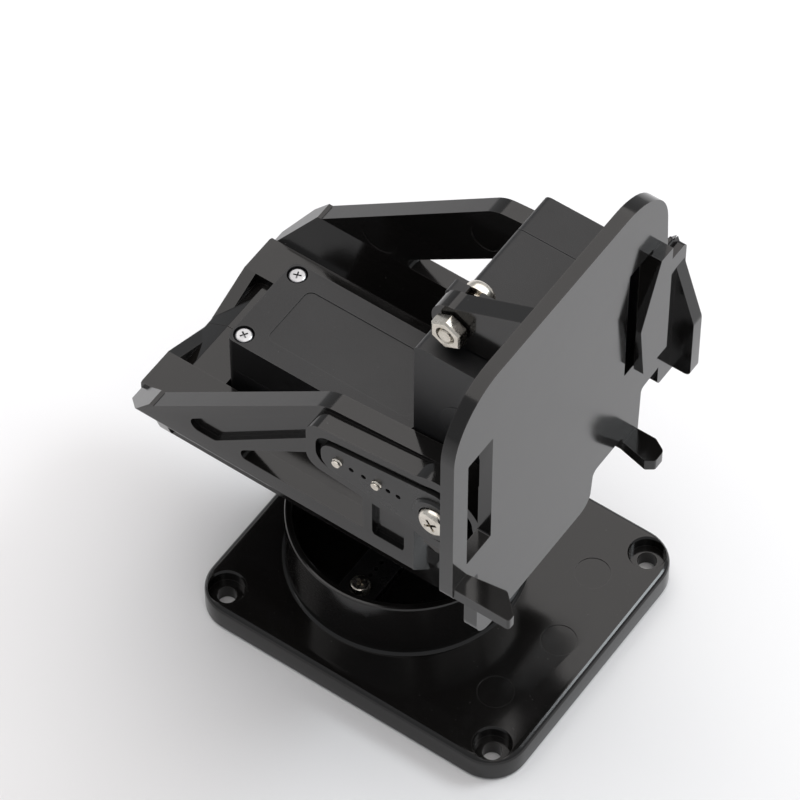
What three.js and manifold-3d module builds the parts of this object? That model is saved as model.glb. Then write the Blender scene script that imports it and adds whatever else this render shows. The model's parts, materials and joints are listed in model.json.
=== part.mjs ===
// Two-axis (pan and tilt) camera mount for two standard-size hobby servos.
// Millimetres, +Z up. The camera looks along -Y, and the tilt axis lies along X.
import * as THREE from "three";
import { mergeVertices } from "three/addons/utils/BufferGeometryUtils.js";
import Module from "manifold-3d";

const wasm = await Module();
wasm.setup();

// ---------------------------------------------------------------- driving dimensions
const FIT = 0.1; // gap between pieces that are fastened together
const RUN = 0.3; // gap between pieces that turn past each other

// Base plate and cup. The cup is set back along the plate.
const BASE_LENGTH = 66;
const BASE_WIDTH = 57;
const BASE_THICKNESS = 5.5;
const BASE_CORNER = 7;
const BASE_HOLE_LENGTH = 56;
const BASE_HOLE_WIDTH = 48;
const PAN_Y = 6.6;
const CUP_OUTER = 21.15;
const CUP_INNER = 19.75;
const CUP_FLOOR = 10.5;
const CUP_RIM = 19;
const HORN_RECESS = 9.3;

// Standard servo, measured from the gearbox face (z = 0) and the shaft axis.
const SERVO_LENGTH = 40.4;
const SERVO_WIDTH = 19.8;
const SERVO_HEIGHT = 36.5;
const SERVO_SHIFT = 10;
const SERVO_WALL = 1.6;
const EAR_TOP = -7.5;
const EAR_THICKNESS = 2.5;
const EAR_SPAN = 54.8;
const EAR_HOLE_PITCH = 49.5;
const EAR_HOLE_GAP = 10;
const COLLAR_RADIUS = 6.5;
const COLLAR_HEIGHT = 1.9;
const SPLINE_RADIUS = 2.9;
const SPLINE_TIP = 6.2;
const COVER_SPLIT = -6.4;
const BACK_SPLIT = -28.4;

// Stack of the pan servo above the base.
const PAN_FACE_Z = 19.5;
const BOSS_Z = 36.65;
const BOX_Y = PAN_Y + SERVO_SHIFT;

// Yoke halves: u forward, v up from the boss line, w outward from the middle plane.
const BOSS_U = 26;
const OPENING_U = 20.5;
const BOX_U = 31.85;
const BOX_BOTTOM = -12.5;
const BOX_TOP = 6;
const WALL_W = 11;
const WALL_OUT = 13.4;
const SHOULDER_W = 18.9;
const SHOULDER_TOP = 7.6;
const ARM_IN = 22.5;
const ARM_OUT = 26;
const HORN_SEAT = 28;
const TILT_U = 36.7;
const TILT_V = 36.8;
const HEAD_RADIUS = 8.9;
const TILT_Y = BOX_Y - TILT_U;
const TILT_Z = BOSS_Z + TILT_V;

// Camera plate: x towards the horn arm, y up, z backwards, from between the strap slots.
const PLATE_THICKNESS = 2.5;
const PLATE_SHIFT_X = 14.2;
const PLATE_AXIS_Y = -22.45;
const PLATE_AXIS_Z = 10;
const SLOT_X = 22.3;
const SLOT_WIDTH = 6.7;
const SLOT_LENGTH = 26.3;
const LUG_X = 0.6;
const LUG_THICKNESS = 3.6;
const PIVOT_HEAD = 8.6;
const PIVOT_RECESS = 5;

// ---------------------------------------------------------------- materials
function finish(color, roughness, metalness) {
  return new THREE.MeshStandardMaterial({ color, roughness, metalness });
}
const NYLON = finish(0x35322f, 0.5, 0);
const CASE = finish(0x1d1d1f, 0.42, 0);
const HORN = finish(0x242325, 0.45, 0);
const NICKEL = finish(0xb9b2a4, 0.3, 1);
const STEEL = finish(0x8e8f92, 0.35, 1);
const BRASS = finish(0xb08a46, 0.32, 1);
const RUBBER = finish(0x151515, 0.8, 0);
const BOARD = finish(0x1f5c3a, 0.5, 0);

// ---------------------------------------------------------------- solids
function toSolid(geometry) {
  const bare = geometry.clone();
  bare.deleteAttribute("normal");
  bare.deleteAttribute("uv");
  const merged = mergeVertices(bare, 1e-4);
  const mesh = new wasm.Mesh({
    numProp: 3,
    vertProperties: new Float32Array(merged.attributes.position.array),
    triVerts: new Uint32Array(merged.index.array),
  });
  return new wasm.Manifold(mesh);
}

function toGeometry(solid) {
  const mesh = solid.getMesh();
  const geometry = new THREE.BufferGeometry();
  geometry.setAttribute("position", new THREE.BufferAttribute(mesh.vertProperties, 3));
  geometry.setIndex(new THREE.BufferAttribute(mesh.triVerts, 1));
  geometry.computeVertexNormals();
  return geometry;
}

function prism(shape, z0, z1, curves = 3) {
  const geometry = new THREE.ExtrudeGeometry(shape, {
    depth: z1 - z0,
    bevelEnabled: false,
    curveSegments: curves,
  });
  geometry.translate(0, 0, z0);
  return toSolid(geometry);
}

// Closed outline with every corner [x, y, radius] rounded.
function outline(corners) {
  const shape = new THREE.Shape();
  const count = corners.length;
  for (let i = 0; i < count; i += 1) {
    const [x, y, radius = 0] = corners[i];
    const here = new THREE.Vector2(x, y);
    const before = new THREE.Vector2(...corners[(i + count - 1) % count]).sub(here);
    const after = new THREE.Vector2(...corners[(i + 1) % count]).sub(here);
    const half = Math.abs(before.angleTo(after)) / 2;
    const reach = radius / Math.tan(half);
    const start = before.normalize().multiplyScalar(reach).add(here);
    const end = after.normalize().multiplyScalar(reach).add(here);
    if (i === 0) {
      shape.moveTo(start.x, start.y);
    } else {
      shape.lineTo(start.x, start.y);
    }
    if (radius > 0) {
      shape.quadraticCurveTo(x, y, end.x, end.y);
    }
  }
  shape.closePath();
  return shape;
}

function rectangle(x0, x1, y0, y1, radius = 0) {
  return outline([
    [x0, y0, radius],
    [x1, y0, radius],
    [x1, y1, radius],
    [x0, y1, radius],
  ]);
}

function box(x0, x1, y0, y1, z0, z1, radius = 0) {
  return prism(rectangle(x0, x1, y0, y1, radius), z0, z1);
}

// Cylinder along z.
function rod(radius, z0, z1, x = 0, y = 0, sides = 16) {
  const geometry = new THREE.CylinderGeometry(radius, radius, z1 - z0, sides);
  geometry.rotateX(Math.PI / 2);
  geometry.translate(x, y, (z0 + z1) / 2);
  return toSolid(geometry);
}

function lathe(profile, sides = 20) {
  const points = profile.map(([r, z]) => new THREE.Vector2(r, z));
  const geometry = new THREE.LatheGeometry(points, sides);
  geometry.rotateX(Math.PI / 2);
  return toSolid(geometry);
}

function join(solids) {
  return solids.reduce((all, solid) => all.add(solid));
}

function cut(solid, tools) {
  return tools.reduce((rest, tool) => rest.subtract(tool), solid);
}

function piece(name, solid, material) {
  const mesh = new THREE.Mesh(toGeometry(solid), material);
  mesh.name = name;
  return mesh;
}

// Group whose local x, y, z axes point along the given world axes.
function frameAt(name, origin, x, y, z) {
  const group = new THREE.Group();
  group.name = name;
  const basis = new THREE.Matrix4().makeBasis(
    new THREE.Vector3(...x),
    new THREE.Vector3(...y),
    new THREE.Vector3(...z),
  );
  group.quaternion.setFromRotationMatrix(basis);
  group.position.set(...origin);
  return group;
}

// ---------------------------------------------------------------- fasteners
// Screw with its head above z = 0 and its shank going down.
function screwSolid(headRadius, headHeight, shankRadius, length) {
  return lathe(
    [
      [0, -length],
      [shankRadius * 0.6, -length],
      [shankRadius, -length + 0.8],
      [shankRadius, 0],
      [headRadius, 0],
      [headRadius, headHeight * 0.45],
      [headRadius * 0.72, headHeight],
      [0, headHeight],
    ],
    12,
  );
}

function screw(name, size, position, flip = false, material = NICKEL) {
  const mesh = piece(name, screwSolid(size.head, size.height, size.shank, size.length), material);
  mesh.position.set(...position);
  if (flip) {
    mesh.rotation.x = Math.PI;
  }
  return mesh;
}

const M3 = { head: 2.8, height: 2.2, shank: 1.45 };
const BRACKET_SCREW = { ...M3, length: 21 };
const PIVOT_SCREW = { ...M3, length: 10.5 };
const EAR_SCREW = { ...M3, length: 8.8 };
const HORN_CENTRE_SCREW = { ...M3, length: 7 };
const TAPPER = { head: 1.95, height: 1.5, shank: 0.85, length: 5.2 };
const TILT_TAPPER = { head: 2.1, height: 1.6, shank: 0.95, length: 5 };
const CASE_SCREW = { head: 1.7, height: 1.2, shank: 0.8, length: 31 };

function nut(name, position) {
  const body = cut(rod(3.17, 0, 2.4, 0, 0, 6), [rod(M3.shank + FIT, -1, 4)]);
  const mesh = piece(name, body, NICKEL);
  mesh.position.set(...position);
  return mesh;
}

// ---------------------------------------------------------------- base
const CROSS_LONG = 17.2;
const CROSS_SHORT = 12.6;
const CROSS_HALF = 3.4;

function crossOutline(grow) {
  const long = CROSS_LONG + grow;
  const short = CROSS_SHORT + grow;
  const half = CROSS_HALF + grow;
  return outline([
    [-half, -short, 2],
    [half, -short, 2],
    [half, -half, 0.6],
    [long, -half, 2],
    [long, half, 2],
    [half, half, 0.6],
    [half, short, 2],
    [-half, short, 2],
    [-half, half, 0.6],
    [-long, half, 2],
    [-long, -half, 2],
    [-half, -half, 0.6],
  ]);
}

const PAN_HORN_HOLES = [
  [0, -10],
  [14, 0],
  [0, 10],
  [-14, 0],
];

function basePlate() {
  const halfX = BASE_WIDTH / 2;
  const halfY = BASE_LENGTH / 2;
  const slab = box(-halfX, halfX, -halfY, halfY, 0, BASE_THICKNESS - 1, BASE_CORNER);
  const step = box(-halfX + 0.5, halfX - 0.5, -halfY + 0.5, halfY - 0.5, 1, BASE_THICKNESS, BASE_CORNER);
  const cup = rod(CUP_OUTER, 1, CUP_RIM, 0, PAN_Y, 40);
  const recess = prism(crossOutline(RUN), HORN_RECESS, CUP_FLOOR + 1).translate([0, PAN_Y, 0]);
  const tools = [
    rod(CUP_INNER, CUP_FLOOR, CUP_RIM + 1, 0, PAN_Y, 40),
    recess,
    rod(3.5, -1, HORN_RECESS + 1, 0, PAN_Y),
  ];
  for (const sideX of [-1, 1]) {
    for (const sideY of [-1, 1]) {
      const x = (sideX * BASE_HOLE_WIDTH) / 2;
      const y = (sideY * BASE_HOLE_LENGTH) / 2;
      tools.push(rod(1.75, -1, BASE_THICKNESS + 1, x, y));
      tools.push(rod(3.25, BASE_THICKNESS - 2.4, BASE_THICKNESS + 1, x, y));
    }
  }
  for (const [x, y] of PAN_HORN_HOLES) {
    tools.push(rod(TAPPER.shank + FIT, 5, HORN_RECESS + 1, x, y + PAN_Y, 12));
  }
  return piece("base_plate", cut(join([slab, step, cup]), tools), NYLON);
}

function panHorn() {
  const arms = prism(crossOutline(0), 0, 2);
  const hub = rod(4.4, 1, 7.6);
  const tools = [
    rod(SPLINE_RADIUS + FIT, 3.4, 9, 0, 0, 24),
    rod(M3.shank + 0.15, -1, 4),
  ];
  for (const [x, y] of PAN_HORN_HOLES) {
    tools.push(rod(TAPPER.shank + FIT, -1, 3, x, y, 12));
  }
  const horn = piece("pan_horn", cut(join([arms, hub]), tools), HORN);
  horn.position.set(0, PAN_Y, HORN_RECESS + FIT);
  return horn;
}

// ---------------------------------------------------------------- servo
const BODY_X0 = -SERVO_SHIFT - SERVO_LENGTH / 2;
const BODY_X1 = -SERVO_SHIFT + SERVO_LENGTH / 2;
const HALF_WIDTH = SERVO_WIDTH / 2;
const CASE_SCREW_X = SERVO_LENGTH / 2 - 2.2;
const CASE_SCREW_Y = HALF_WIDTH - 2.2;

function bodyPrism(z0, z1, inset = 0, radius = 1.2) {
  return box(
    BODY_X0 + inset,
    BODY_X1 - inset,
    -HALF_WIDTH + inset,
    HALF_WIDTH - inset,
    z0,
    z1,
    radius,
  );
}

function cornerSpots() {
  const spots = [];
  for (const sx of [-1, 1]) {
    for (const sy of [-1, 1]) {
      spots.push([-SERVO_SHIFT + sx * CASE_SCREW_X, sy * CASE_SCREW_Y]);
    }
  }
  return spots;
}

function cornerPosts(z0, z1) {
  return cornerSpots().map(([x, y]) => rod(2, z0, z1, x, y, 8));
}

function cornerHoles(z0, z1) {
  return cornerSpots().map(([x, y]) => rod(CASE_SCREW.shank + FIT, z0, z1, x, y, 8));
}

function gearCover() {
  const shell = join([
    cut(bodyPrism(COVER_SPLIT + FIT, 0), [bodyPrism(COVER_SPLIT - 1, -SERVO_WALL, SERVO_WALL, 0.4)]),
    rod(COLLAR_RADIUS, -1, COLLAR_HEIGHT, 0, 0, 28),
    ...cornerPosts(COVER_SPLIT + FIT, -1),
  ]);
  const trimmed = shell.intersect(bodyPrism(-40, 10));
  return cut(trimmed, [rod(SPLINE_RADIUS + 0.5, -4, 4, 0, 0, 24), ...cornerHoles(-40, -2.4)]);
}

function earHoleSpots() {
  const spots = [];
  for (const sx of [-1, 1]) {
    for (const sy of [-1, 1]) {
      spots.push([-SERVO_SHIFT + (sx * EAR_HOLE_PITCH) / 2, (sy * EAR_HOLE_GAP) / 2]);
    }
  }
  return spots;
}

function midCase() {
  const web = bodyPrism(EAR_TOP - EAR_THICKNESS - 2, EAR_TOP - EAR_THICKNESS, 0.5);
  const walls = cut(bodyPrism(BACK_SPLIT, COVER_SPLIT), [
    bodyPrism(BACK_SPLIT - 1, COVER_SPLIT + 1, SERVO_WALL, 0.4),
  ]);
  const x0 = -SERVO_SHIFT - EAR_SPAN / 2;
  const x1 = -SERVO_SHIFT + EAR_SPAN / 2;
  const flange = cut(
    box(x0, x1, -9.2, 9.2, EAR_TOP - EAR_THICKNESS, EAR_TOP, 1),
    [bodyPrism(-30, 0, SERVO_WALL / 2)],
  );
  const shell = join([walls, web, flange, ...cornerPosts(BACK_SPLIT, COVER_SPLIT)]);
  const holes = earHoleSpots().map(([x, y]) => rod(2.1, -20, 0, x, y, 10));
  return cut(shell, [
    ...holes,
    ...cornerHoles(-40, 0),
    rod(3.4, -20, 0, -20, 0, 16),
    rod(SPLINE_RADIUS + RUN, -20, 0, 0, 0, 16),
  ]);
}

const GLAND_Z = -31.6;

function backCover() {
  const shell = cut(bodyPrism(-SERVO_HEIGHT, BACK_SPLIT - FIT), [
    bodyPrism(-SERVO_HEIGHT + SERVO_WALL, BACK_SPLIT + 1, SERVO_WALL, 0.4),
  ]);
  const posts = join([shell, ...cornerPosts(-SERVO_HEIGHT + 0.5, BACK_SPLIT - FIT)]);
  const sinks = cornerSpots().map(([x, y]) => {
    return rod(CASE_SCREW.head + FIT, -SERVO_HEIGHT - 1, -SERVO_HEIGHT + 1.3, x, y, 14);
  });
  const gland = box(BODY_X1 - 4, BODY_X1 + 1, -3.1, 3.1, GLAND_Z - 1.6, GLAND_Z + 1.6);
  return cut(posts, [...cornerHoles(-40, 0), ...sinks, gland]);
}

function glandSolid() {
  const block = box(BODY_X1 - SERVO_WALL, BODY_X1 + 2.4, -3, 3, GLAND_Z - 1.5, GLAND_Z + 1.5, 0.8);
  const bore = rod(0.9, -6, 6, 0, 0, 12).rotate([0, 90, 0]);
  return cut(block, [bore.translate([BODY_X1, 0, GLAND_Z])]);
}

function outputShaft() {
  const shaft = rod(SPLINE_RADIUS, -14, SPLINE_TIP, 0, 0, 24);
  const gear = rod(8.2, -5, -2.4, 0, 0, 36);
  return cut(join([shaft, gear]), [rod(M3.shank + FIT, -0.6, SPLINE_TIP + 1, 0, 0, 14)]);
}

function motorSolid() {
  return join([
    rod(7.4, -32.4, -13, -20, 0, 24),
    rod(3, -14, -12, -20, 0, 16),
    rod(1, -13, -4, -20, 0, 10),
  ]);
}

function potSolid() {
  return rod(5.4, -24, -18, 0, 0, 20).add(rod(2, -19, -14.2, 0, 0, 12));
}

function boardSolid() {
  const chip = box(-16, -8, -4, 4, -33.4, -32.8);
  return box(-25.4, 5.4, -7, 7, -34.6, -33.3).add(chip);
}

function servoShells(prefix, frame) {
  frame.add(piece(`${prefix}_servo_gear_cover`, gearCover(), CASE));
  frame.add(piece(`${prefix}_servo_mid_case`, midCase(), CASE));
  frame.add(piece(`${prefix}_servo_back_cover`, backCover(), CASE));
  frame.add(piece(`${prefix}_servo_cable_gland`, glandSolid(), RUBBER));
  frame.add(piece(`${prefix}_servo_motor`, motorSolid(), STEEL));
  frame.add(piece(`${prefix}_servo_potentiometer`, potSolid(), BRASS));
  frame.add(piece(`${prefix}_servo_circuit_board`, boardSolid(), BOARD));
  cornerSpots().forEach(([x, y], index) => {
    const seat = [x, y, -SERVO_HEIGHT + 1.25];
    frame.add(screw(`${prefix}_servo_case_screw_${index + 1}`, CASE_SCREW, seat, true, STEEL));
  });
}

// ---------------------------------------------------------------- yoke halves
function mirrorW(solid, side) {
  return side > 0 ? solid : solid.mirror([0, 0, 1]);
}

// Prism with its outline in (w, v), running along u.
function along(corners, u0, u1) {
  return prism(outline(corners), u0, u1).rotate([0, -90, 0]).mirror([1, 0, 0]);
}

function towerBlocks() {
  const parts = [];
  for (const end of [-1, 1]) {
    const inner = end * OPENING_U;
    const outer = end * BOX_U;
    const face = outline([
      [inner, BOX_BOTTOM],
      [outer, BOX_BOTTOM, 4],
      [outer, BOX_TOP - 2.4, 0.5],
      [outer - end * 4.4, BOX_TOP, 0.5],
      [inner, BOX_TOP],
    ]);
    parts.push(prism(face, 0.05, WALL_OUT));
  }
  return parts;
}

// Sloping end walls and ribs that carry the shoulder.
function endWalls() {
  const profile = [
    [0.05, BOX_BOTTOM + 4],
    [WALL_W, BOX_BOTTOM + 1.5],
    [14.4, BOX_BOTTOM + 1.5, 1],
    [SHOULDER_W, BOX_TOP - 2.7, 0.6],
    [SHOULDER_W, SHOULDER_TOP, 0.6],
    [WALL_W, SHOULDER_TOP],
    [0.05, BOX_TOP - 3],
  ];
  const rib = [
    [WALL_W + 1, BOX_BOTTOM + 1],
    [SHOULDER_W, BOX_TOP - 1],
    [SHOULDER_W, SHOULDER_TOP],
    [WALL_W + 1, SHOULDER_TOP],
  ];
  return [
    along(profile, -BOX_U, -BOX_U + 2.4),
    along(profile, BOX_U - 2.4, BOX_U),
    ...[-20, -10, 0, 10, 20].map((u) => along(rib, u - 0.9, u + 0.9)),
  ];
}

// The strip between the box and the arm; its rear end is cut on the slant.
function shoulder() {
  const strip = [
    [SHOULDER_W - 3, SHOULDER_TOP - 0.3],
    [SHOULDER_W, SHOULDER_TOP - 0.2],
    [ARM_IN, 15],
    [ARM_OUT, 15],
    [ARM_OUT, 11.2, 1],
    [SHOULDER_W + 1.4, BOX_TOP - 1.4, 0.6],
    [SHOULDER_W - 3, BOX_TOP - 1],
  ];
  const slant = outline([
    [-31.7, 4],
    [-31.7, 6.2],
    [-24.2, 15.3],
    [-24.2, 30],
    [-40, 30],
    [-40, 4],
  ]);
  return [
    box(-BOX_U, BOX_U, BOX_BOTTOM, SHOULDER_TOP, WALL_W, WALL_OUT, 1.6),
    box(-BOX_U, BOX_U, BOX_TOP - 1, SHOULDER_TOP, WALL_W, SHOULDER_W, 0.3),
    cut(along(strip, -31.6, 29.5), [prism(slant, SHOULDER_W - 4, ARM_OUT + 1)]),
  ];
}

function armOutline() {
  return outline([
    [-26.2, 12],
    [29.5, 12, 1.5],
    [29.5, TILT_V - HEAD_RADIUS + 0.6, 1.5],
    [TILT_U + 0.5, TILT_V - HEAD_RADIUS],
    [TILT_U + 0.5, TILT_V + HEAD_RADIUS],
    [12, 43.4, 7],
    [-23.7, 15],
  ]);
}

function armWindow() {
  return outline([
    [-8.6, 14.6, 1.6],
    [19.4, 14.6, 0.8],
    [19.2, 29.8, 1.4],
    [12.8, 31, 1.6],
  ]);
}

function armPlate() {
  const plate = join([
    prism(armOutline(), ARM_IN, ARM_OUT, 6),
    rod(HEAD_RADIUS, ARM_IN, ARM_OUT, TILT_U, TILT_V, 28),
  ]);
  const field = outline([
    [21.2, 14.5, 1.5],
    [27.6, 14.5, 1.5],
    [27.6, 27, 1.5],
    [21.2, 28.4, 1.5],
  ]);
  const inner = outline([
    [17, 15.2],
    [31, 15.2],
    [31, 27.6],
    [17, 31],
  ]);
  const strutField = outline([
    [-18.6, 15.4, 1.6],
    [-10.8, 15.4, 1.6],
    [9.6, 32.6, 2],
    [10.6, 39.4, 2],
  ]);
  return cut(plate, [
    prism(armWindow(), ARM_IN - 1, ARM_OUT + 1),
    prism(field, ARM_OUT - 1.1, ARM_OUT + 1),
    prism(strutField, ARM_OUT - 1.1, ARM_OUT + 1),
    prism(inner, ARM_IN - 1, ARM_IN + 0.6),
  ]);
}

// Slots that hold the servo ears, open to the opening between the towers.
function earSlots() {
  const v0 = PAN_FACE_Z - EAR_TOP - BOSS_Z - RUN / 2;
  const v1 = v0 + EAR_THICKNESS + RUN;
  return [
    box(OPENING_U - 1, 28.1, v0, v1, -1, WALL_W),
    box(-28.1, -OPENING_U + 1, v0, v1, -1, WALL_W),
  ];
}

function yokeHalf() {
  return cut(join([...towerBlocks(), ...endWalls(), ...shoulder(), armPlate()]), earSlots());
}

const SOCKET_RADIUS = 3.45;
const SOCKET_DEPTH = 6;
const BOSS_RADIUS = 3.05;
const BOSS_LENGTH = 5.4;

function leftBracket() {
  const half = yokeHalf();
  const tools = [rod(1.65, ARM_IN - 1, ARM_OUT + 1, TILT_U, TILT_V)];
  for (const u of [-BOSS_U, BOSS_U]) {
    tools.push(rod(SOCKET_RADIUS, -1, SOCKET_DEPTH, u, 0, 24));
    tools.push(rod(M3.shank + 0.15, -1, SHOULDER_W + 9, u, 0));
    tools.push(rod(M3.head + 0.3, WALL_OUT - 1.2, SHOULDER_W + 9, u, 0));
  }
  return piece("left_bracket", mirrorW(cut(half, tools), -1), NYLON);
}

const HORN_HOLES = [11.6, 19.3];

function hornSeatOutline(grow) {
  return outline([
    [TILT_U - 24 - grow, TILT_V - 3.6 - grow, 3],
    [TILT_U + 2, TILT_V - 6.6 - grow, 3],
    [TILT_U + 6.6 + grow, TILT_V - 4, 3],
    [TILT_U + 6.6 + grow, TILT_V + 4, 3],
    [TILT_U + 2, TILT_V + 6.6 + grow, 3],
    [TILT_U - 24 - grow, TILT_V + 3.6 + grow, 3],
  ]);
}

function rightBracket() {
  const seat = prism(hornSeatOutline(1.9), ARM_OUT - 1.5, HORN_SEAT + 1.6);
  const ring = rod(HEAD_RADIUS, ARM_OUT - 1, HORN_SEAT + 1.6, TILT_U, TILT_V, 28);
  const bosses = [-BOSS_U, BOSS_U].map((u) => rod(BOSS_RADIUS, -BOSS_LENGTH, 4, u, 0, 24));
  const tools = [
    prism(hornSeatOutline(0), HORN_SEAT, HORN_SEAT + 4),
    rod(6.9, ARM_IN - 1, HORN_SEAT + 4, TILT_U, TILT_V, 28),
  ];
  for (const reach of HORN_HOLES) {
    tools.push(rod(1.25, ARM_IN - 1, HORN_SEAT + 1, TILT_U - reach, TILT_V, 14));
    tools.push(rod(2.6, ARM_IN - 1, HORN_SEAT - 2.2, TILT_U - reach, TILT_V));
  }
  for (const u of [-BOSS_U, BOSS_U]) {
    tools.push(rod(M3.shank + 0.05, -BOSS_LENGTH - 1, WALL_OUT - 1.4, u, 0, 18));
  }
  return piece("right_bracket", cut(join([yokeHalf(), seat, ring, ...bosses]), tools), NYLON);
}

// ---------------------------------------------------------------- tilt horn
function tiltHorn() {
  const arm = outline([
    [-22.6, -3, 2.6],
    [0, -6, 3],
    [6, -3.6, 3],
    [6, 3.6, 3],
    [0, 6, 3],
    [-22.6, 3, 2.6],
  ]);
  const solid = join([prism(arm, 0, 2), rod(4.4, -3.4, 2.6)]);
  const tools = [
    rod(SPLINE_RADIUS + FIT, -5, 0.6, 0, 0, 24),
    rod(M3.shank + 0.15, -5, 5),
    rod(3, 1.4, 5),
    ...HORN_HOLES.map((reach) => rod(TILT_TAPPER.shank + 0.05, -1, 5, -reach, 0, 12)),
  ];
  const horn = piece("tilt_horn", cut(solid, tools), HORN);
  horn.position.set(TILT_U, TILT_V, HORN_SEAT + FIT);
  return horn;
}

// ---------------------------------------------------------------- camera plate
function plateOutline() {
  return outline([
    [-28.8, 28.8, 12],
    [-30.3, 5, 1],
    [-30.9, -3, 3],
    [-30.9, -22.5, 2],
    [-24.6, -23, 1],
    [-24.2, -36, 2],
    [-20, -36, 1.8],
    [-19.6, -30.7, 1],
    [-11, -30.7, 1.4],
    [-10.2, -38.5, 3],
    [22.4, -38.5, 4],
    [22.4, -19.3, 0.6],
    [29.5, -19.3, 2],
    [29.5, 28.8, 12],
  ].reverse());
}

// Lug standing back from the plate, with a round head.
function lug(x0, x1, y0, y1, top, headY) {
  const half = 4.2;
  const shape = outline([
    [y0, -0.5],
    [y1, -0.5],
    [headY + half, top - half],
    [headY + half, top, half * 0.9],
    [headY - half, top, half * 0.9],
    [headY - half, top - half],
  ]);
  // The outline is drawn in (y, z) and runs along x.
  return prism(shape, x0, x1).rotate([90, 0, 90]);
}

// Lug with a large round head for the pivot; its far edge runs straight onto the head.
function pivotLug(x0, x1) {
  const top = PLATE_AXIS_Z + PIVOT_HEAD;
  const end = PLATE_AXIS_Y - PIVOT_HEAD;
  const shape = outline([
    [-28.4, -0.5],
    [4.4, -0.5],
    [PLATE_AXIS_Y + 3, top, PIVOT_HEAD],
    [end, top, PIVOT_HEAD * 0.96],
    [end, PLATE_AXIS_Z],
  ]);
  return prism(shape, x0, x1, 6).rotate([90, 0, 90]);
}

// Tab standing forward of the plate, drawn in (x, z).
function tab(corners, y0, y1) {
  return prism(outline(corners), -y1, -y0).rotate([90, 0, 0]);
}

// Ramp that falls across the left slot and ends on the slant in front of the plate.
function slotRamp() {
  const section = [
    [-28, -PLATE_THICKNESS - 2.2],
    [-28, -0.5],
    [-25.7, -0.5],
    [-19.4, -PLATE_THICKNESS - 1.4],
    [-19.4, -PLATE_THICKNESS - 2.2],
  ];
  const beyond = outline([
    [-24.7, 14],
    [-24.7, 12.4],
    [-19.7, -0.8],
    [-21.3, -14],
    [-15, -14],
    [-15, 14],
  ]);
  return cut(tab(section, -13.4, 12.6), [prism(beyond, -8, 2)]);
}

function tabs() {
  const right = [
    [25.8, -1],
    [29.2, -1],
    [29.2, -13],
    [27.8, -13],
    [24.6, -9.6],
  ];
  const left = [
    [-23.8, -1],
    [-20.4, -1],
    [-19, -7.4],
    [-20, -8.8],
    [-22.4, -8.8],
    [-23.8, -6.4],
  ];
  return [tab(right, -18.2, -15.8), tab(left, -35.2, -32.8)];
}

// Flange that carries the pivot lug's edge forward of the plate, drawn in (y, z).
function sideFlange() {
  const shape = outline([
    [5, -1],
    [-26, -1],
    [-26, -6.5],
    [-12, -6.5],
  ]);
  return prism(shape, -35.6, -33.2).rotate([90, 0, 90]);
}

function cameraPlate() {
  const holeZ = PLATE_AXIS_Z + EAR_HOLE_GAP / 2;
  const holeY = [1, -1].map((side) => PLATE_AXIS_Y + SERVO_SHIFT + (side * EAR_HOLE_PITCH) / 2);
  const lugEnd = LUG_X + LUG_THICKNESS;
  const body = join([
    prism(plateOutline(), -PLATE_THICKNESS, 0, 6),
    lug(LUG_X, lugEnd, 9, 24, 19.2, holeY[0]),
    lug(LUG_X, lugEnd, -38.2, -33.4, 19.2, holeY[1]),
    pivotLug(-36, -30.6),
    box(-36, -29.6, -27.5, 4, -PLATE_THICKNESS, 0.4, 1),
    ...tabs(),
    sideFlange(),
  ]);
  const across = (radius, x0, x1, y, z, sides = 18) => {
    return rod(radius, x0, x1, 0, 0, sides).rotate([0, 90, 0]).translate([0, y, z]);
  };
  const slots = [-SLOT_X, SLOT_X].map((x) => {
    const half = SLOT_WIDTH / 2;
    return box(x - half, x + half, -SLOT_LENGTH / 2, SLOT_LENGTH / 2, -PLATE_THICKNESS - 1, 3);
  });
  const tools = [
    ...slots,
    ...holeY.map((y) => across(1.6, LUG_X - 1, lugEnd + 1, y, holeZ)),
    across(1.6, -40, -28, PLATE_AXIS_Y, PLATE_AXIS_Z),
    across(PIVOT_RECESS, -33.4, -29, PLATE_AXIS_Y, PLATE_AXIS_Z, 24),
  ];
  return piece("camera_plate", cut(body, tools).add(slotRamp()), NYLON);
}

// ---------------------------------------------------------------- assembly
function baseGroup() {
  const group = new THREE.Group();
  group.name = "base";
  group.add(basePlate(), panHorn());
  PAN_HORN_HOLES.forEach(([x, y], index) => {
    const seat = [x, y + PAN_Y, HORN_RECESS + 2 + 2 * FIT];
    group.add(screw(`pan_horn_screw_${index + 1}`, TAPPER, seat));
  });
  group.add(screw("pan_horn_centre_screw", HORN_CENTRE_SCREW, [0, PAN_Y, HORN_RECESS - 0.02], true));
  const shaftFrame = frameAt("pan_shaft_frame", [0, PAN_Y, PAN_FACE_Z], [0, -1, 0], [-1, 0, 0], [0, 0, -1]);
  shaftFrame.add(piece("pan_output_shaft", outputShaft(), BRASS));
  group.add(shaftFrame);
  return group;
}

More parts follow.
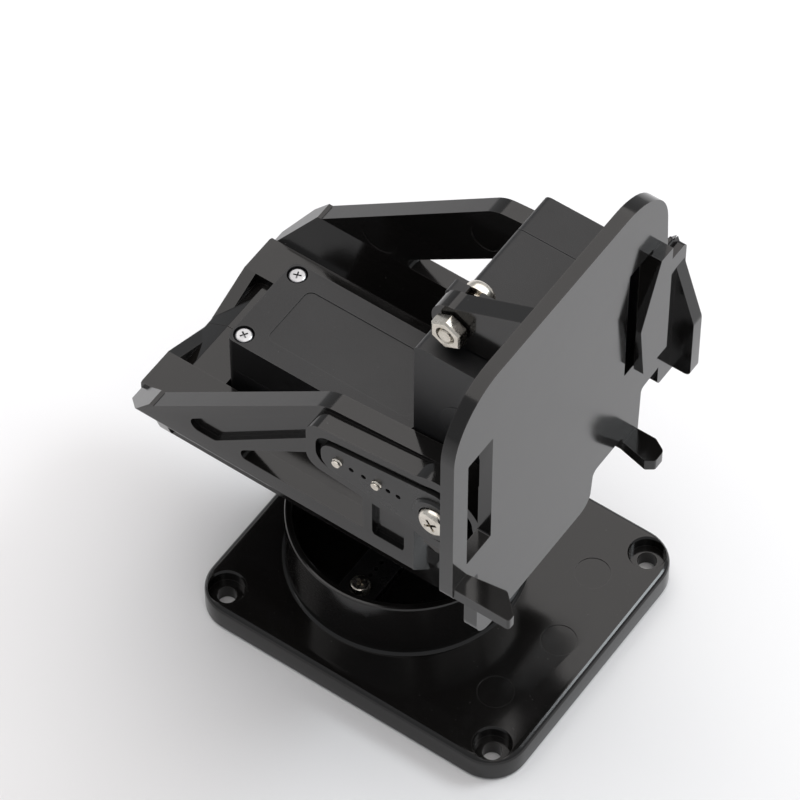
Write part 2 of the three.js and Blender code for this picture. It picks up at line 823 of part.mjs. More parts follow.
function yokeGroup() {
  const group = new THREE.Group();
  group.name = "yoke";
  const frame = frameAt("yoke_frame", [0, BOX_Y, BOSS_Z], [0, -1, 0], [0, 0, 1], [-1, 0, 0]);
  frame.add(leftBracket(), rightBracket(), tiltHorn());
  [-BOSS_U, BOSS_U].forEach((u, index) => {
    const name = index === 0 ? "bracket_screw_rear" : "bracket_screw_front";
    frame.add(screw(name, BRACKET_SCREW, [u, 0, -WALL_OUT + 1.2 - 0.05], true));
  });
  HORN_HOLES.forEach((reach, index) => {
    const seat = [TILT_U - reach, TILT_V, HORN_SEAT - 2.25];
    frame.add(screw(`tilt_horn_screw_${index + 1}`, TILT_TAPPER, seat, true));
  });
  const centre = [TILT_U, TILT_V, HORN_SEAT + 1.6];
  frame.add(screw("tilt_horn_centre_screw", HORN_CENTRE_SCREW, centre));
  const servo = frameAt("pan_servo", [0, PAN_Y, PAN_FACE_Z], [0, -1, 0], [-1, 0, 0], [0, 0, -1]);
  servoShells("pan", servo);
  const tiltAxis = [-(ARM_IN - RUN), TILT_Y, TILT_Z];
  const shaft = frameAt("tilt_shaft_frame", tiltAxis, [0, 0, -1], [0, -1, 0], [-1, 0, 0]);
  shaft.add(piece("tilt_output_shaft", outputShaft(), BRASS));
  group.add(frame, servo, shaft);
  return group;
}

function headGroup() {
  const group = new THREE.Group();
  group.name = "head";
  const origin = [PLATE_SHIFT_X * -1, TILT_Y - PLATE_AXIS_Z, TILT_Z - PLATE_AXIS_Y];
  const plate = frameAt("plate_frame", origin, [-1, 0, 0], [0, 0, 1], [0, 1, 0]);
  plate.add(cameraPlate());
  const tiltAxis = [-(ARM_IN - RUN), TILT_Y, TILT_Z];
  const servo = frameAt("tilt_servo", tiltAxis, [0, 0, -1], [0, -1, 0], [-1, 0, 0]);
  servoShells("tilt", servo);
  const underEar = EAR_TOP - EAR_THICKNESS - 0.02;
  [1, -1].forEach((side, index) => {
    const x = -SERVO_SHIFT - (side * EAR_HOLE_PITCH) / 2;
    const label = index === 0 ? "upper" : "lower";
    servo.add(screw(`tilt_ear_screw_${label}`, EAR_SCREW, [x, -EAR_HOLE_GAP / 2, underEar], true));
    servo.add(nut(`tilt_ear_nut_${label}`, [x, -EAR_HOLE_GAP / 2, -3.7]));
  });
  const yoke = frameAt("pivot_frame", [0, TILT_Y, TILT_Z], [0, -1, 0], [0, 0, 1], [-1, 0, 0]);
  yoke.add(screw("pivot_screw", PIVOT_SCREW, [0, 0, -ARM_OUT - 0.1], true));
  yoke.add(nut("pivot_nut", [0, 0, -19]));
  group.add(plate, servo, yoke);
  return group;
}

const mount = new THREE.Group();
mount.name = "pan_tilt_camera_mount";
mount.add(baseGroup(), yokeGroup(), headGroup());

export default mount;
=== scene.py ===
"""Detailed model of the pan and tilt camera mount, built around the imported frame.

Shapes are drawn in millimetres, each in its own piece's frame, and placed in metres
by finish_piece. In the yoke's frame u runs forward, v up and w towards the right
bracket; in the camera plate's frame x runs towards that bracket too, y up and z
backward; in a servo's frame z runs out along its shaft.
"""

import json
import math

import bmesh
import bpy
from mathutils import Matrix, Vector


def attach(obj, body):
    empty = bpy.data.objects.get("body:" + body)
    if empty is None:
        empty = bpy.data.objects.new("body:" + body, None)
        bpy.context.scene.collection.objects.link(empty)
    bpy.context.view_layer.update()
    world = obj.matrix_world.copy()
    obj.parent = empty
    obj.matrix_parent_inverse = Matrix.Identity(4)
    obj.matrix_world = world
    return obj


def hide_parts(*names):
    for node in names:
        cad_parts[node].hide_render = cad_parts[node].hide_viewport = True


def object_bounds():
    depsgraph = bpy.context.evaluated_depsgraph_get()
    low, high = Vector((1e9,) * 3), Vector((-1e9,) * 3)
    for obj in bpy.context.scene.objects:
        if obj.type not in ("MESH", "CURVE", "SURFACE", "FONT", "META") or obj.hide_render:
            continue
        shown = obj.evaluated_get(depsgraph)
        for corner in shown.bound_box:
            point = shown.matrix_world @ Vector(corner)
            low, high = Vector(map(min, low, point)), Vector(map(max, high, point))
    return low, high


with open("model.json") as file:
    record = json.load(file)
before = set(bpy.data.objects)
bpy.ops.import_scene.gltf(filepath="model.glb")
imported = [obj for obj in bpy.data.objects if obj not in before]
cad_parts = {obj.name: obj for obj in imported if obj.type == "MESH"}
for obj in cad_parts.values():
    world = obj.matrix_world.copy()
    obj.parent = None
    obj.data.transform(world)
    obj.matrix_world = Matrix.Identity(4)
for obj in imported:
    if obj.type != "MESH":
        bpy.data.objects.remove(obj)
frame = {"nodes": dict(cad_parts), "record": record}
CAD_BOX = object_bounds()
MM = 0.001
JOINTS = {joint["name"]: joint for joint in frame["record"]["behaviour"]["joints"]}

# ------------------------------------------------------------------ frames
PAN_Y = JOINTS["pan"]["pos_m"][1] / MM
PAN_FACE_Z = JOINTS["pan"]["pos_m"][2] / MM
TILT_Y = JOINTS["tilt"]["pos_m"][1] / MM
TILT_Z = JOINTS["tilt"]["pos_m"][2] / MM
SERVO_SHIFT = 10.0  # from a servo's shaft to the middle of its body
BOX_Y = PAN_Y + SERVO_SHIFT
TILT_U = BOX_Y - TILT_Y
TILT_V = 36.8
BOSS_Z = TILT_Z - TILT_V
ARM_IN = 22.5
ARM_OUT = 26.0
HORN_SEAT = 28.0
SERVO_GAP = 0.3
PLATE_X = -14.2
PLATE_AXIS_Y = -22.45  # the tilt axis, in the camera plate's frame
PLATE_AXIS_Z = 10.0


def axes(origin, x, y, z):
    """Matrix whose local axes point along the given world axes, in millimetres."""
    rotation = Matrix((x, y, z)).transposed().to_4x4()
    return Matrix.Translation(Vector(origin)) @ rotation


WORLD = Matrix.Identity(4)
CUP = axes((0, PAN_Y, 0), (1, 0, 0), (0, 1, 0), (0, 0, 1))
PAN_SERVO = axes((0, PAN_Y, PAN_FACE_Z), (0, -1, 0), (-1, 0, 0), (0, 0, -1))
YOKE = axes((0, BOX_Y, BOSS_Z), (0, -1, 0), (0, 0, 1), (-1, 0, 0))
PLATE = axes((PLATE_X, TILT_Y - PLATE_AXIS_Z, TILT_Z - PLATE_AXIS_Y), (-1, 0, 0), (0, 0, 1), (0, 1, 0))
TILT_SERVO = axes((-(ARM_IN - SERVO_GAP), TILT_Y, TILT_Z), (0, 0, -1), (0, -1, 0), (-1, 0, 0))
PIVOT = axes((0, TILT_Y, TILT_Z), (0, -1, 0), (0, 0, 1), (-1, 0, 0))


# ------------------------------------------------------------------ solids
def to_object(bm):
    bmesh.ops.recalc_face_normals(bm, faces=bm.faces)
    mesh = bpy.data.meshes.new("solid")
    bm.to_mesh(mesh)
    bm.free()
    obj = bpy.data.objects.new("solid", mesh)
    bpy.context.scene.collection.objects.link(obj)
    return obj


def loft(rings):
    """Closed solid through rings of equal length, each a list of (x, y, z)."""
    bm = bmesh.new()
    loops = [[bm.verts.new(point) for point in ring] for ring in rings]
    count = len(rings[0])
    for low, high in zip(loops, loops[1:]):
        for i in range(count):
            j = (i + 1) % count
            bm.faces.new((low[i], low[j], high[j], high[i]))
    bm.faces.new(loops[0][::-1])
    bm.faces.new(loops[-1])
    return to_object(bm)


def prism(points, z0, z1):
    return loft([[(x, y, z) for x, y in points] for z in (z0, z1)])


def rounded(corners, steps=7):
    """Outline with each corner (x, y, radius) rounded by a true arc."""
    points = []
    count = len(corners)
    for i, corner in enumerate(corners):
        here = Vector(corner[:2])
        radius = corner[2] if len(corner) > 2 else 0
        if radius <= 0:
            points.append(tuple(here))
            continue
        before = (Vector(corners[i - 1][:2]) - here).normalized()
        after = (Vector(corners[(i + 1) % count][:2]) - here).normalized()
        half = before.angle(after) / 2
        reach = radius / math.tan(half)
        centre = here + (before + after).normalized() * (radius / math.sin(half))
        start = here + before * reach - centre
        end = here + after * reach - centre
        sweep = start.angle_signed(end)
        for k in range(steps + 1):
            turned = start.copy()
            turned.rotate(Matrix.Rotation(-sweep * k / steps, 2))
            points.append(tuple(centre + turned))
    return points


def rectangle(x0, x1, y0, y1, radius=0.0, steps=7):
    corners = [(x0, y0, radius), (x1, y0, radius), (x1, y1, radius), (x0, y1, radius)]
    return rounded(corners, steps)


def box(x0, x1, y0, y1, z0, z1, radius=0.0):
    return prism(rectangle(x0, x1, y0, y1, radius), z0, z1)


def circle(radius, x=0.0, y=0.0, sides=48):
    step = 2 * math.pi / sides
    return [(x + radius * math.cos(i * step), y + radius * math.sin(i * step)) for i in range(sides)]


def rod(radius, z0, z1, x=0.0, y=0.0, sides=48):
    return prism(circle(radius, x, y, sides), z0, z1)


def turned(profile, x=0.0, y=0.0, sides=64):
    """Solid of revolution from (radius, z) pairs; a zero radius is kept just above zero."""
    rings = []
    for radius, z in profile:
        rings.append([(px, py, z) for px, py in circle(max(radius, 0.01), x, y, sides)])
    return loft(rings)


def place(obj, matrix):
    """Moves the mesh itself, and keeps its faces outward when the matrix mirrors."""
    obj.data.transform(matrix)
    if matrix.determinant() < 0:
        obj.data.flip_normals()
    return obj


def rotated(obj, degrees, axis):
    return place(obj, Matrix.Rotation(math.radians(degrees), 4, axis))


def moved(obj, x, y, z):
    return place(obj, Matrix.Translation((x, y, z)))


def boolean(target, tools, operation):
    """Joins or cuts target by each tool, and removes the tools."""
    for tool in tools:
        modifier = target.modifiers.new("boolean", "BOOLEAN")
        modifier.operation = operation
        modifier.solver = "MANIFOLD"
        modifier.object = tool
        graph = bpy.context.evaluated_depsgraph_get()
        result = bpy.data.meshes.new_from_object(target.evaluated_get(graph))
        target.modifiers.clear()
        old = target.data
        target.data = result
        bpy.data.meshes.remove(old)
        bpy.data.meshes.remove(tool.data)
    return target


def join(parts):
    return boolean(parts[0], parts[1:], "UNION")


def cut(target, tools):
    return boolean(target, tools, "DIFFERENCE")


def along(corners, u0, u1):
    """Prism with its outline in (w, v), running along u."""
    points = rounded([(w, v, *rest) for w, v, *rest in corners])
    obj = prism(points, u0, u1)
    return place(obj, Matrix(((0, 0, 1, 0), (0, 1, 0, 0), (1, 0, 0, 0), (0, 0, 0, 1))))


def across(radius, x0, x1, y, z, sides=36):
    """Rod along x."""
    return moved(rotated(rod(radius, x0, x1, sides=sides), 90, "Y"), 0, y, z)


def merge_flat_faces(obj):
    """Welds the seams that the booleans leave and merges coplanar faces."""
    bm = bmesh.new()
    bm.from_mesh(obj.data)
    bmesh.ops.remove_doubles(bm, verts=bm.verts, dist=0.004)
    bmesh.ops.dissolve_limit(
        bm, angle_limit=math.radians(0.6), verts=bm.verts, edges=bm.edges, delimit={"NORMAL"}
    )
    bm.to_mesh(obj.data)
    bm.free()


def finish_piece(obj, node, matrix, body, slot, bevel, segments=2):
    """Places a piece in the world, rounds its edges and puts it in the node's place."""
    obj.name = f"{node}_detail"
    obj.data.name = obj.name
    merge_flat_faces(obj)
    place(obj, Matrix.Scale(MM, 4) @ matrix)
    round_edges(obj, bevel, segments)
    obj.data.materials.clear()
    obj.data.materials.append(LOOKS[slot])
    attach(obj, body)
    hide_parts(node)


def round_edges(obj, width, segments):
    """Bevels the sharp edges and shades the rest smooth."""
    if width > 0:
        bevel = obj.modifiers.new("bevel", "BEVEL")
        bevel.width = width * MM
        bevel.segments = segments
        bevel.limit_method = "ANGLE"
        bevel.angle_limit = math.radians(32)
        bevel.use_clamp_overlap = True
        bevel.harden_normals = True
    for polygon in obj.data.polygons:
        polygon.use_smooth = True
    obj.data.set_sharp_from_angle(angle=math.radians(17))


# ------------------------------------------------------------------ materials
def shader(name, metallic=0.0):
    """New node material: the material, its tree and its principled shader."""
    material = bpy.data.materials.new(name)
    material.use_nodes = True
    tree = material.node_tree
    principled = tree.nodes["Principled BSDF"]
    principled.inputs["Metallic"].default_value = metallic
    return material, tree, principled


def noise(tree, scale, detail=4.0, rough=0.55):
    coordinates = tree.nodes.new("ShaderNodeTexCoord")
    node = tree.nodes.new("ShaderNodeTexNoise")
    node.inputs["Scale"].default_value = scale
    node.inputs["Detail"].default_value = detail
    node.inputs["Roughness"].default_value = rough
    tree.links.new(coordinates.outputs["Object"], node.inputs["Vector"])
    return node.outputs["Fac"]


def ramp(tree, source, low, high, a=0.3, b=0.7):
    """Colour that goes from low to high as the source goes from a to b."""
    node = tree.nodes.new("ShaderNodeValToRGB")
    node.color_ramp.elements[0].position = a
    node.color_ramp.elements[1].position = b
    node.color_ramp.elements[0].color = (*low, 1)
    node.color_ramp.elements[1].color = (*high, 1)
    tree.links.new(source, node.inputs["Fac"])
    return node.outputs["Color"]


def spread(tree, source, low, high, a=0.3, b=0.7):
    """Value that goes from low to high as the source goes from a to b."""
    node = tree.nodes.new("ShaderNodeMapRange")
    node.inputs["From Min"].default_value = a
    node.inputs["From Max"].default_value = b
    node.inputs["To Min"].default_value = low
    node.inputs["To Max"].default_value = high
    tree.links.new(source, node.inputs["Value"])
    return node.outputs["Result"]


def mix(tree, factor, first, second):
    """Colour between first and second, each a socket or a plain colour."""
    node = tree.nodes.new("ShaderNodeMix")
    node.data_type = "RGBA"
    tree.links.new(factor, node.inputs["Factor"])
    for socket, value in ((node.inputs[6], first), (node.inputs[7], second)):
        if isinstance(value, tuple):
            socket.default_value = (*value, 1)
        else:
            tree.links.new(value, socket)
    return node.outputs[2]


def bump(tree, principled, height, strength, distance, before=None):
    """Drives the shader's normal by a height, on top of an earlier bump if one is given."""
    node = tree.nodes.new("ShaderNodeBump")
    node.inputs["Strength"].default_value = strength
    node.inputs["Distance"].default_value = distance
    tree.links.new(height, node.inputs["Height"])
    if before is not None:
        tree.links.new(before, node.inputs["Normal"])
    tree.links.new(node.outputs["Normal"], principled.inputs["Normal"])
    return node.outputs["Normal"]


def edges(tree, radius, strength):
    """Mask that rises along corners, where a bevelled normal leaves the surface normal."""
    geometry = tree.nodes.new("ShaderNodeNewGeometry")
    bevel = tree.nodes.new("ShaderNodeBevel")
    bevel.samples = 6
    bevel.inputs["Radius"].default_value = radius
    dot = tree.nodes.new("ShaderNodeVectorMath")
    dot.operation = "DOT_PRODUCT"
    tree.links.new(geometry.outputs["Normal"], dot.inputs[0])
    tree.links.new(bevel.outputs["Normal"], dot.inputs[1])
    return spread(tree, dot.outputs["Value"], strength, 0.0, 0.86, 0.985)


def scratches(tree, scale, stretch):
    """Mask of fine streaks: noise drawn out along a slanted direction."""
    coordinates = tree.nodes.new("ShaderNodeTexCoord")
    mapping = tree.nodes.new("ShaderNodeMapping")
    mapping.inputs["Scale"].default_value = stretch
    mapping.inputs["Rotation"].default_value = (0.3, 0.5, 0.7)
    tree.links.new(coordinates.outputs["Object"], mapping.inputs["Vector"])
    node = tree.nodes.new("ShaderNodeTexNoise")
    node.inputs["Scale"].default_value = scale
    node.inputs["Detail"].default_value = 3.0
    tree.links.new(mapping.outputs["Vector"], node.inputs["Vector"])
    return spread(tree, node.outputs["Fac"], 0.0, 1.0, 0.66, 0.72)


def plastic(name, dark, light, worn_and_highlit, roughness, grain, gloss):
    """Moulded plastic: cloudy colour, fine grain, faint scuffs, dust, and edges painted lighter as a
    painted highlight and rubbed wear.
    """
    material, tree, principled = shader(name)
    cloud = noise(tree, 60, 5)
    base = ramp(tree, cloud, dark, light, 0.25, 0.8)
    speck = spread(tree, noise(tree, 1900, 2, 0.5), 0.0, 0.4, 0.75, 0.80)
    dusted = mix(tree, speck, base, tuple(min(1.0, 3 * c + 0.04) for c in worn_and_highlit))
    # edges lightened towards the edge colour: a painted highlight along every edge, partly standing for
    # rubbed wear
    rubbed_and_highlit = mix(tree, edges(tree, 0.0004, 0.6), dusted, worn_and_highlit)
    tree.links.new(rubbed_and_highlit, principled.inputs["Base Color"])
    patches = spread(tree, noise(tree, 110, 4), roughness - 0.02, roughness + 0.03)
    fine = spread(tree, scratches(tree, 2600, (1.0, 0.04, 0.1)), 0.0, 0.09, 0, 1)
    total = tree.nodes.new("ShaderNodeMath")
    tree.links.new(patches, total.inputs[0])
    tree.links.new(fine, total.inputs[1])
    tree.links.new(total.outputs["Value"], principled.inputs["Roughness"])
    coarse = bump(tree, principled, noise(tree, 130, 2), 0.06, 0.0003)
    bump(tree, principled, noise(tree, 5200, 2), grain, 0.00006, coarse)
    principled.inputs["Specular IOR Level"].default_value = gloss
    return material


def metal(name, low, high, roughness, spot):
    """Plated or machined metal with faint mottling and fine lines."""
    material, tree, principled = shader(name, 1.0)
    base = ramp(tree, noise(tree, 500, 5), low, high, 0.3, 0.72)
    stain = spread(tree, noise(tree, 260, 4), 0.0, spot, 0.6, 0.75)
    stained = mix(tree, stain, base, tuple(c * 0.35 for c in low))
    tree.links.new(stained, principled.inputs["Base Color"])
    patches = spread(tree, noise(tree, 900, 4), roughness - 0.07, roughness + 0.12)
    tree.links.new(patches, principled.inputs["Roughness"])
    bump(tree, principled, scratches(tree, 900, (1.0, 0.1, 0.2)), 0.2, 0.00004)
    return material


def rubber(name):
    material, tree, principled = shader(name)
    base = ramp(tree, noise(tree, 400, 5), (0.008, 0.008, 0.008), (0.022, 0.021, 0.02))
    tree.links.new(base, principled.inputs["Base Color"])
    tree.links.new(spread(tree, noise(tree, 300, 4), 0.62, 0.85), principled.inputs["Roughness"])
    bump(tree, principled, noise(tree, 2600, 3), 0.25, 0.00008)
    return material


def board(name):
    material, tree, principled = shader(name)
    base = ramp(tree, noise(tree, 900, 2), (0.01, 0.09, 0.04), (0.02, 0.16, 0.07))
    tree.links.new(base, principled.inputs["Base Color"])
    tree.links.new(spread(tree, noise(tree, 300, 3), 0.3, 0.45), principled.inputs["Roughness"])
    bump(tree, principled, noise(tree, 1500, 2), 0.3, 0.00005)
    return material


# slot: dark, light and edge colour (painted edge highlight and wear, also the base of the dust specks),
# roughness, grain, gloss
PLASTICS = {
    "black_nylon": (
        (0.005, 0.0046, 0.0044), (0.008, 0.0074, 0.0070), (0.030, 0.028, 0.027), 0.11, 0.04, 0.42,
    ),
    "servo_case": (
        (0.006, 0.006, 0.0065), (0.010, 0.010, 0.011), (0.03, 0.03, 0.031), 0.40, 0.5, 0.4,
    ),
    "horn_plastic": (
        (0.010, 0.010, 0.010), (0.016, 0.0155, 0.0155), (0.05, 0.049, 0.048), 0.28, 0.1, 0.42,
    ),
}
# slot: low and high colour, roughness, how much it is stained
METALS = {
    "nickel": ((0.60, 0.56, 0.49), (0.76, 0.72, 0.65), 0.22, 0.5),
    "case_screw_steel": ((0.34, 0.34, 0.35), (0.5, 0.5, 0.51), 0.3, 0.4),
    "shaft_brass": ((0.62, 0.44, 0.19), (0.78, 0.59, 0.30), 0.26, 0.3),
    "motor_steel": ((0.45, 0.45, 0.45), (0.58, 0.58, 0.57), 0.32, 0.3),
    "pot_metal": ((0.5, 0.47, 0.42), (0.62, 0.59, 0.54), 0.36, 0.3),
}
LOOKS = {slot: plastic(slot, *values) for slot, values in PLASTICS.items()}
LOOKS |= {slot: metal(slot, *values) for slot, values in METALS.items()}
LOOKS["gland_rubber"] = rubber("gland_rubber")
LOOKS["board"] = board("board")


# ------------------------------------------------------------------ base
PAN_HORN_HOLES = ((0, -10), (14, 0), (0, 10), (-14, 0))
SLAB_X, SLAB_Y, SLAB_CORNER, SLAB_TOP = 28.5, 33, 7, 5.5
SLAB_EDGE = 1.3
CORNER_HOLE_X, CORNER_HOLE_Y = 24, 28
CUP_TOP, CUP_FLOOR = 19, 10.5
HORN_HOLE_RADIUS = 0.95
HORN_Z = 9.4


def cross(grow):
    """Outline of the pan horn's cross, grown on every side."""
    long, short, half = 17.2 + grow, 12.6 + grow, 3.4 + grow
    return rounded(
        [
            (-half, -short, 2.2), (half, -short, 2.2), (half, -half, 1),
            (long, -half, 2.2), (long, half, 2.2), (half, half, 1),
            (half, short, 2.2), (-half, short, 2.2), (-half, half, 1),
            (-long, half, 2.2), (-long, -half, 2.2), (-half, -half, 1),
        ]
    )


def slab_ring(inset, height):
    x, y, radius = SLAB_X - inset, SLAB_Y - inset, SLAB_CORNER - inset
    return [(px, py, height) for px, py in rectangle(-x, x, -y, y, radius, 10)]


def slab():
    """Flange with a small chamfer below and a round edge above."""
    rings = [slab_ring(0.3, 0), slab_ring(0, 0.4)]
    for k in range(6):
        angle = math.pi / 2 * k / 5
        inset = SLAB_EDGE * (1 - math.cos(angle))
        rings.append(slab_ring(inset, SLAB_TOP - SLAB_EDGE * (1 - math.sin(angle))))
    return loft(rings)


def base_plate():
    """Flange and cup, with the cup's well, the horn's recess and every hole and mark."""
    cup = turned(
        [(20.5, 2), (21.95, 5.2), (21.62, 5.68), (21.35, 6.05), (21.2, 6.5), (21.15, 7.0),
         (21.15, 18.55), (21.0, 18.88), (20.7, CUP_TOP), (10, CUP_TOP), (0, CUP_TOP)],
        0, PAN_Y, 96,
    )
    well = turned(
        [(0, CUP_FLOOR), (18.9, CUP_FLOOR), (19.5, 10.75), (19.75, 11.4),
         (19.75, 18.6), (19.85, 18.88), (20.1, 19.05), (20.1, 21)],
        0, PAN_Y, 96,
    )
    recess = moved(prism(cross(0.3), 9.3, 12), 0, PAN_Y, 0)
    tools = [well, recess, rod(3.5, -1, 10, 0, PAN_Y)]
    for x in (-CORNER_HOLE_X, CORNER_HOLE_X):
        for y in (-CORNER_HOLE_Y, CORNER_HOLE_Y):
            tools.append(rod(1.75, -1, 8, x, y))
            tools.append(turned([(3.25, 3.1), (3.25, 5.1), (3.55, 5.55), (3.6, 7)], x, y, 48))
    for x, y in PAN_HORN_HOLES:
        tools.append(rod(HORN_HOLE_RADIUS, 5, 10, x, y + PAN_Y, 24))
    for x, y in ((-15, -22.5), (15, -22.5), (0, -25.5)):
        tools.append(rod(3.2, 5.38, 7, x, y))
    for x, y in ((-17, 22), (17, 22), (-17, -22), (17, -22)):
        tools.append(rod(3.4, -1, 0.12, x, y))
    return cut(join([slab(), cup]), tools)


def pan_horn():
    """Cross horn with its hub, screw holes and the small unused holes."""
    arms = prism(cross(0), 0, 2)
    hub = turned([(4.6, 1), (4.6, 3.4), (4.2, 7.6), (0, 7.6)], sides=48)
    collar = turned([(6.2, 0.6), (6.2, 2.5), (0, 2.5)], sides=48)
    tools = [rod(3.0, 3.4, 9), rod(1.6, -1, 4)]
    for x, y in PAN_HORN_HOLES:
        tools.append(rod(HORN_HOLE_RADIUS, -1, 4, x, y, 24))
    for reach in (7.6, 9.2, 10.8, 12.4):
        tools += [rod(0.45, -1, 4, side * reach, 0, 16) for side in (-1, 1)]
    tools += [rod(0.45, -1, 4, 0, side * 7.6, 16) for side in (-1, 1)]
    return moved(cut(join([arms, hub, collar]), tools), 0, 0, HORN_Z)


# ------------------------------------------------------------------ fasteners
def phillips(radius, top, depth):
    """Cross-shaped pocket that narrows downwards."""
    tools = []
    for swap in (False, True):
        rings = []
        for z, share in ((top - depth, 0.45), (top + 0.6, 1.0)):
            long, half = radius * share, 0.16 * radius * (0.6 + 0.4 * share)
            x, y = (half, long) if swap else (long, half)
            rings.append([(px, py, z) for px, py in rectangle(-x, x, -y, y)])
        tools.append(loft(rings))
    return tools


def threaded(core, crest, z0, z1, pitch, sides=20):
    """Shank with a helical thread, as one closed skin."""
    count = max(2, int((z1 - z0) / pitch * 6))
    rings = []
    for k in range(count + 1):
        z = z0 + (z1 - z0) * k / count
        ring = []
        for i in range(sides):
            phase = (z / pitch - i / sides) % 1.0
            height = 1 - abs(2 * phase - 1)
            fade = min(1.0, (z - z0) / pitch, (z1 - z) / pitch)
            radius = core + (crest - core) * height * max(fade, 0.0)
            angle = 2 * math.pi * i / sides
            ring.append((radius * math.cos(angle), radius * math.sin(angle), z))
        rings.append(ring)
    return loft(rings)


def pan_head_screw(head, height, shank, length, pitch=0.5):
    """Cross-head screw, head above z = 0 and thread below."""
    dome = [(head * 0.97, 0.0), (head, height * 0.12), (head, height * 0.3)]
    for k in range(1, 7):
        angle = math.pi / 2 * k / 6
        dome.append((head * math.cos(angle * 0.62) ** 0.8, height * (0.3 + 0.7 * math.sin(angle))))
    dome.append((0, height))
    body = turned(dome, sides=40)
    body = cut(body, phillips(head * 0.58, height, height * 0.6))
    thread = threaded(shank * 0.8, shank, -length, 0.15, pitch)
    return join([body, thread])


# kind: head radius, head height, thread radius
SCREWS = {
    "m3": (2.8, 2.2, 1.45),
    "tapper": (1.95, 1.5, 0.85),
    "tilt_tapper": (2.1, 1.6, 0.95),
    "case": (1.7, 1.2, 0.8),
}
DOWN = Matrix.Rotation(math.pi, 4, "X")


def add_screw(node, kind, length, matrix, spot, flip, body, turn, slot="nickel"):
    """Screw with its head's underside at spot; flip points its head along minus z."""
    obj = rotated(pan_head_screw(*SCREWS[kind], length), turn, "Z")
    where = matrix @ Matrix.Translation(spot)
    if flip:
        where = where @ DOWN
    finish_piece(obj, node, where, body, slot, 0.06, 1)


def add_nut(node, matrix, spot, body):
    """M3 hexagon nut standing on spot, chamfered above and below."""
    rings = []
    for radius, z in ((2.75, 0.0), (3.17, 0.3), (3.17, 2.1), (2.75, 2.4)):
        rings.append([(x, y, z) for x, y in circle(radius, sides=6)])
    blank = loft(rings)
    bore = turned([(1.9, -0.3), (1.5, 0.35), (1.5, 2.05), (1.9, 2.7)], sides=32)
    finish_piece(cut(blank, [bore]), node, matrix @ Matrix.Translation(spot), body, "nickel", 0.1)


# ------------------------------------------------------------------ servo
BODY_X0, BODY_X1, HALF_Y = -30.2, 10.2, 9.9
EAR_REACH, EAR_HOLE_Y = 24.75, 5  # from the middle of the body
CASE_WALL, CASE_BORE, POST = 1.6, 0.9, 2
CORNERS = [(-SERVO_SHIFT + sx * 18, sy * 7.7) for sx in (-1, 1) for sy in (-1, 1)]
CASE_SCREW_Z = -35.25


def body_prism(z0, z1, inset=0.0, radius=1.4):
    """Length of the servo's body, drawn in by inset on its four sides."""
    return box(BODY_X0 + inset, BODY_X1 - inset, -HALF_Y + inset, HALF_Y - inset, z0, z1, radius)


def corner_rods(radius, z0, z1, sides):
    """One rod on each of the four case screws' lines."""
    return [rod(radius, z0, z1, x, y, sides) for x, y in CORNERS]


def gear_cover():
    """Cover at the shaft end, hollow, with the shaft's tower and the idler's bump."""
    shell = body_prism(-6.3, 0)
    tower = turned([(7.6, -0.6), (7.6, 0.13), (6.5, 0.27), (6.5, 1.6), (6.2, 1.9), (0, 1.9)])
    idler = turned([(4.6, -0.6), (4.6, 0.12), (0, 0.12)], -15.5, 0, 48)
    solid = join([shell, tower, idler])
    inner = cut(body_prism(-8, -1.6, CASE_WALL, 0.6), corner_rods(POST, -9, 0, 24))
    return cut(solid, [inner, rod(3.4, -4, 4), *corner_rods(CASE_BORE, -10, -2.4, 20)])


def ear_rib(side):
    """Gusset under one ear."""
    edge = -SERVO_SHIFT + side * 20
    tip = -SERVO_SHIFT + side * 26.5
    rib = prism([(edge, -10.05), (tip, -10.05), (edge, -14.5)], -0.8, 0.8)
    return place(rib, Matrix(((1, 0, 0, 0), (0, 0, 1, 0), (0, 1, 0, 0), (0, 0, 0, 1))))


def ear_slots(side):
    """Two screw holes that open to the end of one ear."""
    tools = []
    x = -SERVO_SHIFT + side * EAR_REACH
    mouth = sorted((x + side * 1.3, x + side * 1.3 + side * 3))
    for y in (-EAR_HOLE_Y, EAR_HOLE_Y):
        tools.append(rod(2.1, -20, 0, x, y, 32))
        tools.append(box(*mouth, y - 1.1, y + 1.1, -20, 0))
    return tools


def mid_case():
    """Open box with a web across it, the ears with their ribs, and a sunk panel on each side."""
    walls = cut(body_prism(-28.4, -6.4), [body_prism(-40, 0, CASE_WALL, 0.6)])
    web = body_prism(-12, -10, 0.5, 1)
    flange = cut(box(-37.4, 17.4, -9.2, 9.2, -10, -7.5, 1.2), [body_prism(-30, 0, 0.8)])
    ribs = [ear_rib(side) for side in (-1, 1)]
    shell = join([walls, web, flange, *ribs, *corner_rods(POST, -28.4, -6.4, 24)])
    tools = [rod(3.4, -20, 0, -20, 0), rod(3.2, -20, 0), *ear_slots(-1), *ear_slots(1)]
    tools += corner_rods(CASE_BORE, -40, 0, 20)
    for side in (-1, 1):
        panel = sorted((side * 9.78, side * 12))
        tools.append(box(-26.5, 6.5, *panel, -26.4, -12.4, 0))
    return cut(shell, tools)


def back_cover():
    """Hollow cover with the case screws' counterbores and the cable's opening."""
    shell = cut(body_prism(-36.5, -28.5), [body_prism(-34.9, -20, CASE_WALL, 0.6)])
    posts = corner_rods(POST, -36, -28.5, 24)
    tools = corner_rods(CASE_BORE, -40, 0, 20)
    tools += [turned([(2.0, -38), (1.85, -36.4), (1.8, -35.2)], x, y, 32) for x, y in CORNERS]
    tools.append(box(6.2, 11.2, -3.1, 3.1, -33.2, -30))
    tools.append(box(-24.5, 4.5, -6.2, 6.2, -38, -36.35, 1.4))
    return cut(join([shell, *posts]), tools)


